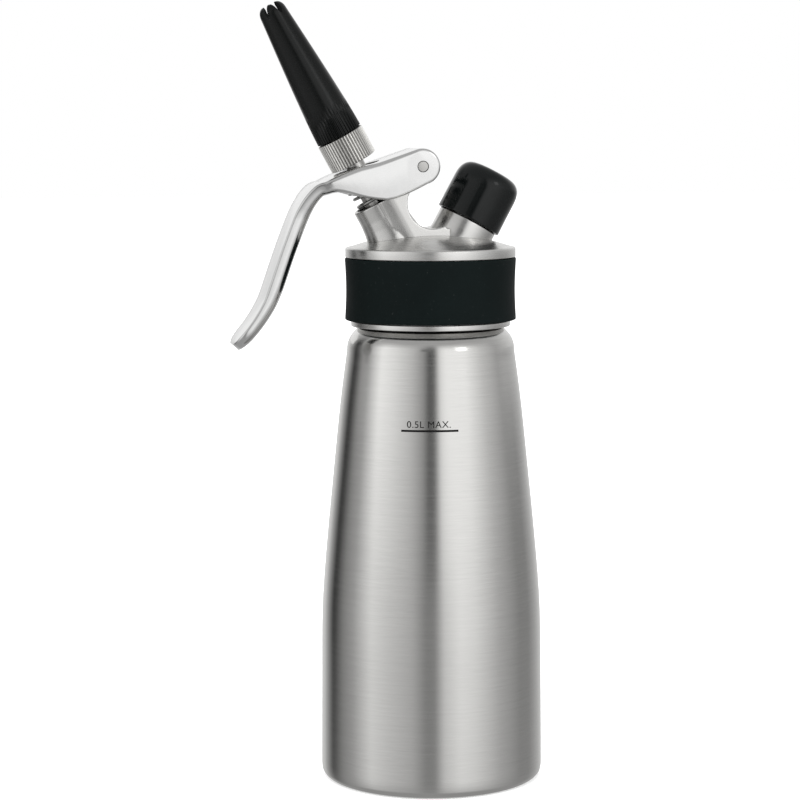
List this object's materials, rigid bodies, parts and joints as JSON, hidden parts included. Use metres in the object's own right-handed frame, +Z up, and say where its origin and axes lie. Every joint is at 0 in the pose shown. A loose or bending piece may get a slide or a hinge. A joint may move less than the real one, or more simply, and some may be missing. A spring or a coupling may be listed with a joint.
{
  "type": "whipped cream dispenser",
  "caption": "Steel whipped cream dispenser: slim bottle, screw-on head with squeeze lever over a sprung valve, decorating nozzle and capped gas charger boss.",
  "frame": {"origin": "centre of the base, on the surface the bottle stands on", "axes": "+Z up the bottle's axis; the lever and the nozzle lean towards -X, the charger boss towards +X; the front with the fill mark faces -Y"},
  "size_m": [0.1153, 0.0822, 0.2858],
  "materials": {
    "brushed_steel_body": "fine brushing round the bottle",
    "brushed_steel_head": "satin brushed casting and turning",
    "polished_lever": "tumbled and polished casting",
    "turned_steel": "bright turned steel",
    "spring_steel": "drawn spring wire",
    "plug_brass": "turned brass",
    "band_rubber": "matte heat-resistant rubber",
    "pale_silicone": "soft food-grade silicone",
    "black_rubber": "matte seal rubber",
    "white_plastic": "moulded bearing plastic",
    "nozzle_plastic": "moulded, half gloss",
    "cap_vinyl": "glossy dip-moulded vinyl"
  },
  "bodies": {
    "bottle": {"bottle": "brushed_steel_body"},
    "gasket": {"head_gasket": "pale_silicone"},
    "head": {"head_cap": "brushed_steel_head", "grip_band": "band_rubber", "valve_block": "brushed_steel_head", "charger_boss": "brushed_steel_head", "stem_guide": "white_plastic", "valve_spring": "spring_steel", "piercing_pin": "turned_steel", "piercer_plug": "plug_brass", "charger_washer": "black_rubber", "gas_check_valve": "black_rubber"},
    "lever": {"lever": "polished_lever", "lever_pin": "turned_steel"},
    "stem": {"valve_stem": "turned_steel", "stem_clip": "spring_steel", "spring_cap": "turned_steel", "stem_seal_lower": "black_rubber", "stem_seal_upper": "black_rubber", "valve_seal": "black_rubber", "seal_nut": "turned_steel"},
    "washer": {"adapter_washer": "pale_silicone"},
    "nozzle": {"nozzle_adapter": "turned_steel", "nozzle": "nozzle_plastic"},
    "cap": {"protective_cap": "cap_vinyl"}
  },
  "joints": [
    {"name": "head_lift", "type": "slide", "parent": "bottle", "child": "gasket", "axis": [0, 0, 1], "range_m": [0, 0.08]},
    {"name": "head_turn", "type": "hinge", "parent": "gasket", "child": "head", "pos_m": [0, 0, 0.19], "axis": [0, 0, 1], "range_deg": [0, 630]},
    {"name": "lever_squeeze", "type": "hinge", "parent": "head", "child": "lever", "pos_m": [-0.00522, 0, 0.22644], "axis": [0, -1, 0], "range_deg": [0, 12], "stiffness_Nm_per_rad": 0.576, "springref_deg": -8.77},
    {"name": "stem_push", "type": "slide", "parent": "head", "child": "stem", "axis": [0.4772, 0, -0.8788], "range_m": [0, 0.0042], "deforming": ["valve_spring"]},
    {"name": "nozzle_lift", "type": "slide", "parent": "stem", "child": "washer", "axis": [-0.4772, 0, 0.8788], "range_m": [0, 0.012]},
    {"name": "nozzle_turn", "type": "hinge", "parent": "washer", "child": "nozzle", "pos_m": [-0.01137, 0, 0.1967], "axis": [-0.4772, 0, 0.8788], "range_deg": [0, 1080]},
    {"name": "cap_pull", "type": "slide", "parent": "head", "child": "cap", "axis": [0.4756, 0, 0.8797], "range_m": [0, 0.022]}
  ],
  "couplings": [
    {"joint": "stem_push", "follows": "lever_squeeze", "m_per_rad": 0.0196}
  ]
}
